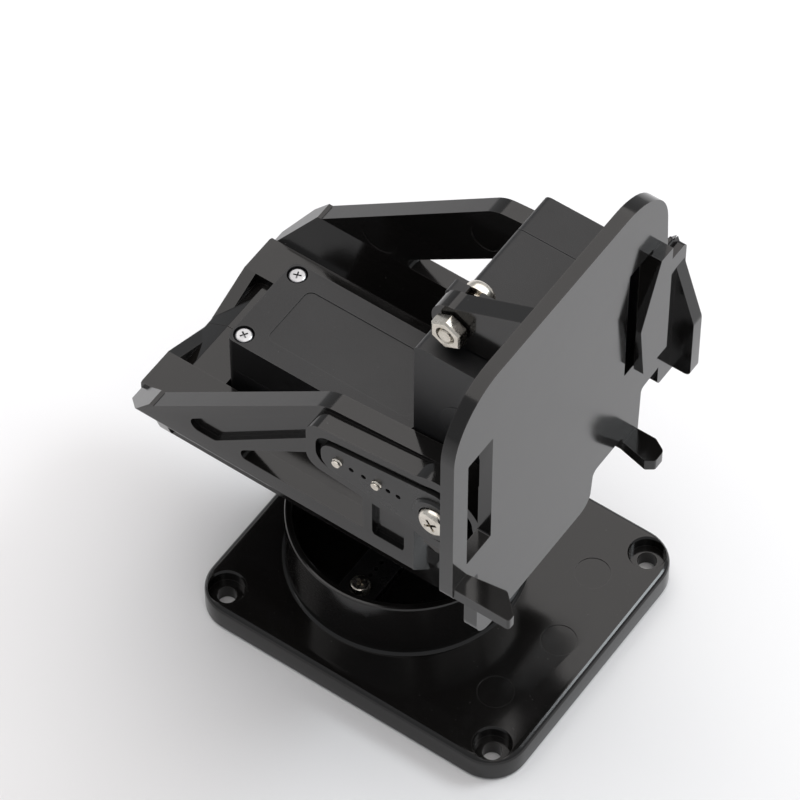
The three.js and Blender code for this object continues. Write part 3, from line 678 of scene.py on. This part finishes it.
def cable_gland():
    """Rubber block with three wire holes and two grooves round it."""
    block = box(8.6, 12.6, -3, 3, -33.1, -30.1, 1)
    tools = []
    for y in (-1.35, 0, 1.35):
        tools.append(across(0.62, 4, 16, y, -31.6, 20))
    for x in (10.9, 11.8):
        ring = cut(box(x, x + 0.4, -4, 4, -34, -29), [box(x - 1, x + 2, -2.7, 2.7, -32.8, -30.4, 0.8)])
        tools.append(ring)
    return cut(block, tools)


def toothed(radii):
    """Outline that takes each radius in turn, once round."""
    points = []
    for i, radius in enumerate(radii):
        angle = 2 * math.pi * i / len(radii)
        points.append((radius * math.cos(angle), radius * math.sin(angle)))
    return points


def output_shaft():
    """Shaft with its spline of 25 teeth and the output gear of 39."""
    spline = prism(toothed([2.66, 2.9] * 25), 2.2, 6.2)
    journal = turned([(2.7, -14), (2.9, -13.6), (2.9, 2.4), (0, 2.4)], sides=48)
    wheel = prism(toothed([7.5, 8.2, 8.2, 7.5] * 39), -5, -2.4)
    return cut(join([journal, spline, wheel]), [rod(1.55, -0.6, 8, sides=32)])


# part name, its maker, slot, edge rounding
SERVO_PARTS = (
    ("gear_cover", gear_cover, "servo_case", 0.3),
    ("mid_case", mid_case, "servo_case", 0.3),
    ("back_cover", back_cover, "servo_case", 0.3),
    ("cable_gland", cable_gland, "gland_rubber", 0.12),
)


def add_servo(prefix, matrix, body):
    for part, maker, slot, bevel in SERVO_PARTS:
        finish_piece(maker(), f"{prefix}_servo_{part}", matrix, body, slot, bevel)
    for index, (x, y) in enumerate(CORNERS):
        add_screw(
            f"{prefix}_servo_case_screw_{index + 1}", "case", 31, matrix, (x, y, CASE_SCREW_Z),
            True, body, 20 + 37 * index, "case_screw_steel",
        )


# ------------------------------------------------------------------ yoke
BOSS_U, OPENING_U, BOX_U = 26.0, 20.5, 31.85
BOX_BOTTOM, BOX_TOP, SHOULDER_TOP = -12.5, 6.0, 7.6
WALL_W, WALL_OUT, SHOULDER_W = 11.0, 13.4, 18.9
HEAD = 8.9
HORN_HOLES = (11.6, 19.3)
SLOT_END, SLOT_HEIGHT = 28.1, 2.8
MIRROR_W = Matrix.Diagonal((1, 1, -1, 1))


def towers():
    """The two solid blocks that the servo's ears slide into."""
    parts = []
    for end in (-1, 1):
        face = rounded(
            [
                (end * OPENING_U, BOX_BOTTOM), (end * BOX_U, BOX_BOTTOM, 4),
                (end * BOX_U, BOX_TOP - 2.4, 0.6), (end * (BOX_U - 4.4), BOX_TOP, 0.6),
                (end * OPENING_U, BOX_TOP),
            ]
        )
        parts.append(prism(face, 0.05, WALL_OUT))
    return parts


def end_walls():
    """Sloping walls at both ends, and five ribs between them."""
    profile = [
        (0.05, BOX_BOTTOM + 4), (WALL_W, BOX_BOTTOM + 1.5), (14.4, BOX_BOTTOM + 1.5, 1),
        (SHOULDER_W, BOX_TOP - 2.7, 0.6), (SHOULDER_W, SHOULDER_TOP, 0.6),
        (WALL_W, SHOULDER_TOP), (0.05, BOX_TOP - 3),
    ]
    rib = [
        (WALL_W + 1, BOX_BOTTOM + 1), (SHOULDER_W, BOX_TOP - 1),
        (SHOULDER_W, SHOULDER_TOP), (WALL_W + 1, SHOULDER_TOP),
    ]
    parts = [along(profile, -BOX_U, -BOX_U + 2.4), along(profile, BOX_U - 2.4, BOX_U)]
    return parts + [along(rib, u - 0.9, u + 0.9) for u in (-20, -10, 0, 10, 20)]


def shoulder():
    """The strip between the box and the arm; its rear end is cut on the slant."""
    strip = [
        (SHOULDER_W - 3, SHOULDER_TOP - 0.3), (SHOULDER_W, SHOULDER_TOP - 0.2),
        (ARM_IN, 15), (ARM_OUT, 15), (ARM_OUT, 11.2, 1),
        (SHOULDER_W + 1.4, BOX_TOP - 1.4, 0.6), (SHOULDER_W - 3, BOX_TOP - 1),
    ]
    slant = [(-31.7, 4), (-31.7, 6.2), (-24.2, 15.3), (-24.2, 30), (-40, 30), (-40, 4)]
    return [
        box(-BOX_U, BOX_U, BOX_BOTTOM, SHOULDER_TOP, WALL_W, WALL_OUT, 1.6),
        box(-BOX_U, BOX_U, BOX_TOP - 1, SHOULDER_TOP, WALL_W, SHOULDER_W, 0.3),
        cut(along(strip, -31.6, 29.5), [prism(slant, SHOULDER_W - 4, ARM_OUT + 1)]),
    ]


def arm_plate():
    """Arm with its window, the sunk fields on both faces and the ejector marks."""
    plate = prism(
        rounded(
            [
                (-26.2, 12), (29.5, 12, 1.5), (29.5, TILT_V - HEAD + 0.6, 1.5),
                (TILT_U + 0.5, TILT_V - HEAD), (TILT_U + 0.5, TILT_V + HEAD),
                (12, 43.4, 7), (-23.7, 15),
            ]
        ),
        ARM_IN, ARM_OUT,
    )
    plate = join([plate, rod(HEAD, ARM_IN, ARM_OUT, TILT_U, TILT_V, 72)])
    window = rounded([(-8.6, 14.6, 1.6), (19.4, 14.6, 0.8), (19.2, 29.8, 1.4), (12.8, 31, 1.6)])
    field = rounded([(21.2, 14.5, 1.5), (27.6, 14.5, 1.5), (27.6, 27, 1.5), (21.2, 28.4, 1.5)])
    strut = rounded([(-18.6, 15.4, 1.6), (-10.8, 15.4, 1.6), (9.6, 32.6, 2), (10.6, 39.4, 2)])
    inner = [(17, 15.2), (31, 15.2), (31, 27.6), (17, 31)]
    return cut(
        plate,
        [
            prism(window, ARM_IN - 1, ARM_OUT + 1),
            prism(field, ARM_OUT - 1.1, ARM_OUT + 1),
            prism(strut, ARM_OUT - 1.1, ARM_OUT + 1),
            prism(inner, ARM_IN - 1, ARM_IN + 0.6),
            rod(3.4, ARM_IN - 1, ARM_IN + 0.78, 24.4, 23.6),
            rod(3.6, ARM_IN - 1, ARM_IN + 0.14, -11.5, 18.9),
            rod(2.9, ARM_IN - 1, ARM_IN + 0.14, 10.2, 34.6),
            rod(2.6, ARM_IN - 1, ARM_IN + 0.1, 26.4, 36.4),
        ],
    )


def yoke_half():
    """Everything that the two bracket halves share, drawn on the right."""
    v0 = PAN_FACE_Z + 7.5 - BOSS_Z - 0.15
    v1 = v0 + SLOT_HEIGHT
    slots = [
        box(OPENING_U - 1, SLOT_END, v0, v1, -1, WALL_W),
        box(-SLOT_END, -OPENING_U + 1, v0, v1, -1, WALL_W),
    ]
    marks = [rod(3.2, WALL_W - 1, WALL_W + 0.12, u, -3) for u in (-12, 12)]
    return cut(join([*towers(), *end_walls(), *shoulder(), arm_plate()]), slots + marks)


def left_bracket():
    """Half with the sockets for the bosses and the plain pivot hole."""
    mouth = [(2.35, ARM_IN - 1), (2.35, ARM_IN + 0.1), (2.15, ARM_IN + 0.3), (2.15, ARM_IN + 0.9)]
    tools = [
        rod(1.65, ARM_IN - 1, ARM_OUT + 1, TILT_U, TILT_V),
        turned(mouth, TILT_U, TILT_V, 40),
    ]
    for u in (-BOSS_U, BOSS_U):
        tools.append(rod(3.45, -1, 6, u, 0))
        tools.append(rod(1.6, -1, 28, u, 0))
        tools.append(rod(3.1, WALL_OUT - 1.2, 28, u, 0))
    return place(cut(yoke_half(), tools), MIRROR_W)


def horn_seat(grow):
    """Outline of the pocket for the tilt horn, grown by the wall around it."""
    return rounded(
        [
            (TILT_U - 24 - grow, TILT_V - 3.6 - grow, 3), (TILT_U + 2, TILT_V - 6.6 - grow, 3),
            (TILT_U + 6.6 + grow, TILT_V - 4, 3), (TILT_U + 6.6 + grow, TILT_V + 4, 3),
            (TILT_U + 2, TILT_V + 6.6 + grow, 3), (TILT_U - 24 - grow, TILT_V + 3.6 + grow, 3),
        ]
    )


def right_bracket():
    """Half with the bosses, the ring for the tilt servo's shaft and the horn's pocket."""
    seat = prism(horn_seat(1.9), ARM_OUT - 1.5, HORN_SEAT + 1.6)
    ring = rod(HEAD, ARM_OUT - 1, HORN_SEAT + 1.6, TILT_U, TILT_V, 72)
    bosses = [rod(3.05, -5.4, 4, u, 0) for u in (-BOSS_U, BOSS_U)]
    tools = [
        prism(horn_seat(0), HORN_SEAT, HORN_SEAT + 4),
        rod(6.9, ARM_IN - 1, HORN_SEAT + 4, TILT_U, TILT_V, 72),
    ]
    for reach in HORN_HOLES:
        tools.append(rod(1.25, ARM_IN - 1, HORN_SEAT + 1, TILT_U - reach, TILT_V, 28))
        tools.append(rod(2.6, ARM_IN - 1, HORN_SEAT - 2.2, TILT_U - reach, TILT_V, 36))
    tools += [rod(1.5, -7, WALL_OUT - 1.4, u, 0, 32) for u in (-BOSS_U, BOSS_U)]
    return cut(join([yoke_half(), seat, ring, *bosses]), tools)


def tilt_horn():
    """Single-arm horn with its hub."""
    arm = rounded([(-22.6, -3, 2.8), (0, -6, 3), (6, -3.6, 3), (6, 3.6, 3), (0, 6, 3), (-22.6, 3, 2.8)])
    hub = turned([(4.4, -3.4), (4.4, 2.2), (4.1, 2.6), (0, 2.6)], sides=56)
    tools = [rod(3, -5, 0.6), rod(1.6, -5, 5), rod(3, 1.4, 5)]
    tools += [rod(1.0, -1, 5, -reach, 0, 24) for reach in HORN_HOLES]
    tools += [rod(0.5, -1, 5, -reach, 0, 16) for reach in (7.4, 9.4, 14.2, 16.6)]
    return moved(cut(join([prism(arm, 0, 2), hub]), tools), TILT_U, TILT_V, HORN_SEAT + 0.1)


# ------------------------------------------------------------------ camera plate
LUG_X0, LUG_X1 = 0.6, 4.2
LUG_TOP, LUG_HEAD = 19.2, 4.2
EAR_HOLE_Z = PLATE_AXIS_Z + 5
PIVOT_HEAD, PIVOT_RECESS = 8.6, 5.0
PLATE_FRONT = -2.5
M3_HOLE = 1.6
SLOT_X, SLOT_HALF_X, SLOT_HALF_Y = 22.3, 3.35, 13.15
EAR_Y = [PLATE_AXIS_Y + SERVO_SHIFT + side * EAR_REACH for side in (1, -1)]
TO_X = Matrix(((0, 0, 1, 0), (1, 0, 0, 0), (0, 1, 0, 0), (0, 0, 0, 1)))


def ear_lug(y0, y1, head_y):
    """Lug that takes one servo ear, with a round head about head_y."""
    half, top = LUG_HEAD, LUG_TOP
    points = rounded(
        [
            (y0, -0.5), (y1, -0.5), (head_y + half, top - half), (head_y + half, top, half * 0.97),
            (head_y - half, top, half * 0.97), (head_y - half, top - half),
        ],
        14,
    )
    return place(prism(points, LUG_X0, LUG_X1), TO_X)


def pivot_lug(x0, x1):
    """Lug with a large round head; its far edge runs straight onto the head."""
    top = PLATE_AXIS_Z + PIVOT_HEAD
    end = PLATE_AXIS_Y - PIVOT_HEAD
    points = rounded(
        [
            (-28.4, -0.5), (4.4, -0.5), (PLATE_AXIS_Y + 3, top, PIVOT_HEAD),
            (end, top, PIVOT_HEAD * 0.96), (end, PLATE_AXIS_Z),
        ],
        16,
    )
    return place(prism(points, x0, x1), TO_X)


def tab(corners, y0, y1):
    """Tab drawn in (x, z) that stands forward of the plate."""
    return rotated(prism(rounded(corners), -y1, -y0), 90, "X")


def slot_ramp():
    """Ramp that falls across the left slot and ends on the slant in front of the plate."""
    section = [(-28, -4.7), (-28, -0.15), (-25.7, -0.15), (-19.4, -3.9), (-19.4, -4.7)]
    beyond = [(-24.7, 14), (-24.7, 12.4), (-19.7, -0.8), (-21.3, -14), (-15, -14), (-15, 14)]
    return cut(tab(section, -13.4, 12.6), [prism(beyond, -8, 2)])


def plate_tabs():
    """The two hooked tabs and the flange that stand forward of the plate."""
    upper = [(25.8, -1), (29.2, -1), (29.2, -13, 0.5), (27.8, -13, 0.5), (24.6, -9.6, 0.8)]
    lower = [
        (-23.8, -1), (-20.4, -1), (-19, -7.4, 0.6), (-20, -8.8, 0.6), (-22.4, -8.8, 1), (-23.8, -6.4, 1),
    ]
    flange = rounded([(5, -1), (-26, -1), (-26, -6.5, 1.2), (-12, -6.5, 3)])
    return [tab(upper, -18.2, -15.8), tab(lower, -35.2, -32.8), place(prism(flange, -35.6, -33.2), TO_X)]


def insert_mark(x0, x1, y0, y1):
    """Fine rectangular groove that a mould insert leaves."""
    outer = box(x0, x1, y0, y1, -0.1, 1, 0.3)
    return cut(outer, [box(x0 + 0.25, x1 - 0.25, y0 + 0.25, y1 - 0.25, -1, 2, 0.2)])


def camera_plate():
    """Plate with its lugs, tabs, slots and mould marks, drawn from its servo side."""
    corners = [
        (-28.8, 28.8, 12), (-30.3, 5, 1), (-30.9, -3, 3), (-30.9, -22.5, 2), (-24.6, -23, 1),
        (-24.2, -36, 2), (-20, -36, 1.9), (-19.6, -30.7, 1), (-11, -30.7, 1.4), (-10.2, -38.5, 3),
        (22.4, -38.5, 4), (22.4, -19.3, 0.6), (29.5, -19.3, 2), (29.5, 28.8, 12),
    ]
    body = join(
        [
            prism(rounded(corners, 12), PLATE_FRONT, 0),
            ear_lug(9, 24, EAR_Y[0]),
            ear_lug(-38.2, -33.4, EAR_Y[1]),
            pivot_lug(-36, -30.6),
            box(-36, -29.6, -27.5, 4, PLATE_FRONT, 0.4, 1),
            *plate_tabs(),
        ]
    )
    tools = []
    for x in (-SLOT_X, SLOT_X):
        tools.append(box(x - SLOT_HALF_X, x + SLOT_HALF_X, -SLOT_HALF_Y, SLOT_HALF_Y, -3.5, 3, 0.3))
    tools += [across(M3_HOLE, LUG_X0 - 1, LUG_X1 + 1, y, EAR_HOLE_Z) for y in EAR_Y]
    tools.append(across(M3_HOLE, -40, -28, PLATE_AXIS_Y, PLATE_AXIS_Z))
    tools.append(across(PIVOT_RECESS, -33.4, -29, PLATE_AXIS_Y, PLATE_AXIS_Z, 64))
    for x, y in ((-16.3, 21.9), (17.5, 2), (17, -31)):
        tools.append(rod(4, -0.12, 2, x, y, 56))
    for extent in ((5.9, 15.2, 9.5, 25.5), (-26, -16, -27, -16.5), (5.9, 15.1, -37.5, -32.4)):
        tools.append(insert_mark(*extent))
    return join([cut(body, tools), slot_ramp()])


# ------------------------------------------------------------------ building
def build_base():
    finish_piece(base_plate(), "base_plate", WORLD, "base", "black_nylon", 0.22)
    finish_piece(pan_horn(), "pan_horn", CUP, "base", "horn_plastic", 0.2)
    for index, (x, y) in enumerate(PAN_HORN_HOLES):
        spot, turn = (x, y, 11.5), 15 + 50 * index
        add_screw(f"pan_horn_screw_{index + 1}", "tapper", 5.2, CUP, spot, False, "base", turn)
    add_screw("pan_horn_centre_screw", "m3", 7, CUP, (0, 0, 9.28), True, "base", 25)
    finish_piece(output_shaft(), "pan_output_shaft", PAN_SERVO, "base", "shaft_brass", 0)


def build_yoke():
    finish_piece(left_bracket(), "left_bracket", YOKE, "yoke", "black_nylon", 0.28)
    finish_piece(right_bracket(), "right_bracket", YOKE, "yoke", "black_nylon", 0.28)
    finish_piece(tilt_horn(), "tilt_horn", YOKE, "yoke", "horn_plastic", 0.2)
    for name, u, turn in (("rear", -BOSS_U, 20), ("front", BOSS_U, 65)):
        add_screw(f"bracket_screw_{name}", "m3", 21, YOKE, (u, 0, -12.25), True, "yoke", turn)
    for index, reach in enumerate(HORN_HOLES):
        spot, turn = (TILT_U - reach, TILT_V, HORN_SEAT - 2.25), 30 + 40 * index
        add_screw(f"tilt_horn_screw_{index + 1}", "tilt_tapper", 5, YOKE, spot, True, "yoke", turn)
    centre = (TILT_U, TILT_V, HORN_SEAT + 1.6)
    add_screw("tilt_horn_centre_screw", "m3", 7, YOKE, centre, False, "yoke", 33)
    finish_piece(output_shaft(), "tilt_output_shaft", TILT_SERVO, "yoke", "shaft_brass", 0)
    add_servo("pan", PAN_SERVO, "yoke")


def build_head():
    finish_piece(camera_plate(), "camera_plate", PLATE, "head", "black_nylon", 0.28)
    add_servo("tilt", TILT_SERVO, "head")
    for label, side in (("upper", -1), ("lower", 1)):
        x, y = -SERVO_SHIFT + side * EAR_REACH, -EAR_HOLE_Y
        add_screw(f"tilt_ear_screw_{label}", "m3", 8.8, TILT_SERVO, (x, y, -10.02), True, "head", 40)
        add_nut(f"tilt_ear_nut_{label}", TILT_SERVO, (x, y, -3.7), "head")
    add_screw("pivot_screw", "m3", 10.5, PIVOT, (0, 0, -26.1), True, "head", 12)
    add_nut("pivot_nut", PIVOT, (0, 0, -19), "head")


def dress_internals():
    """Gives the servos' inner nodes, which stay as they are, their looks."""
    for prefix in ("pan", "tilt"):
        for part, slot in (
            ("motor", "motor_steel"), ("potentiometer", "pot_metal"), ("circuit_board", "board"),
        ):
            node = frame["nodes"][f"{prefix}_servo_{part}"]
            node.data.materials.clear()
            node.data.materials.append(LOOKS[slot])


build_base()
build_yoke()
build_head()
dress_internals()


# ------------------------------------------------------------------ stage, light and camera
FLOOR_SIZE, FLOOR_DROP = 8, 0.0002


def make_floor():
    """Pale floor, a hair below the base."""
    bpy.ops.mesh.primitive_plane_add(size=FLOOR_SIZE, location=(0, 0, CAD_BOX[0][2] - FLOOR_DROP))
    floor = bpy.context.object
    floor.name = "floor"
    material, tree, principled = shader("pale_floor")
    base = ramp(tree, noise(tree, 3, 3), (0.80, 0.80, 0.81), (0.84, 0.84, 0.845))
    tree.links.new(base, principled.inputs["Base Color"])
    principled.inputs["Roughness"].default_value = 0.55
    floor.data.materials.append(material)


def area_light(name, location, target, size, power, color):
    """Rectangular softbox that faces its target."""
    light = bpy.data.lights.new(name, "AREA")
    light.shape = "RECTANGLE"
    light.size, light.size_y = size
    light.energy = power
    light.color = color
    obj = bpy.data.objects.new(name, light)
    obj.location = location
    obj.rotation_euler = (Vector(target) - Vector(location)).to_track_quat("-Z", "Y").to_euler()
    bpy.context.scene.collection.objects.link(obj)


def make_world():
    """Even, slightly cool surroundings."""
    world = bpy.data.worlds.new("studio")
    world.use_nodes = True
    background = world.node_tree.nodes["Background"]
    background.inputs["Color"].default_value = (0.95, 0.97, 1.0, 1)
    background.inputs["Strength"].default_value = 0.5
    bpy.context.scene.world = world
    bpy.context.scene.view_settings.view_transform = "Standard"


def make_camera(azimuth, elevation, distance, focal):
    """Camera on the line at these angles through the middle of the model."""
    middle = (Vector(CAD_BOX[0]) + Vector(CAD_BOX[1])) / 2
    az, el = math.radians(azimuth), math.radians(elevation)
    toward = Vector((math.sin(az) * math.cos(el), -math.cos(az) * math.cos(el), math.sin(el)))
    data = bpy.data.cameras.new("camera")
    data.lens = focal
    obj = bpy.data.objects.new("camera", data)
    obj.location = middle + toward * distance
    obj.rotation_euler = (-toward).to_track_quat("-Z", "Y").to_euler()
    data.clip_start = 0.01
    bpy.context.scene.collection.objects.link(obj)
    bpy.context.scene.camera = obj


make_floor()
make_world()
area_light(
    "overhead", location=(0.45, 0.32, 1.2), target=(0.45, 0.32, 0),
    size=(2.0, 2.0), power=19, color=(1.0, 0.955, 0.925),
)
area_light(
    "key", location=(0.55, -0.45, 0.75), target=(0, 0, 0.05),
    size=(0.3, 0.3), power=3, color=(0.9, 0.96, 1.0),
)
make_camera(azimuth=305, elevation=54, distance=0.85, focal=232)
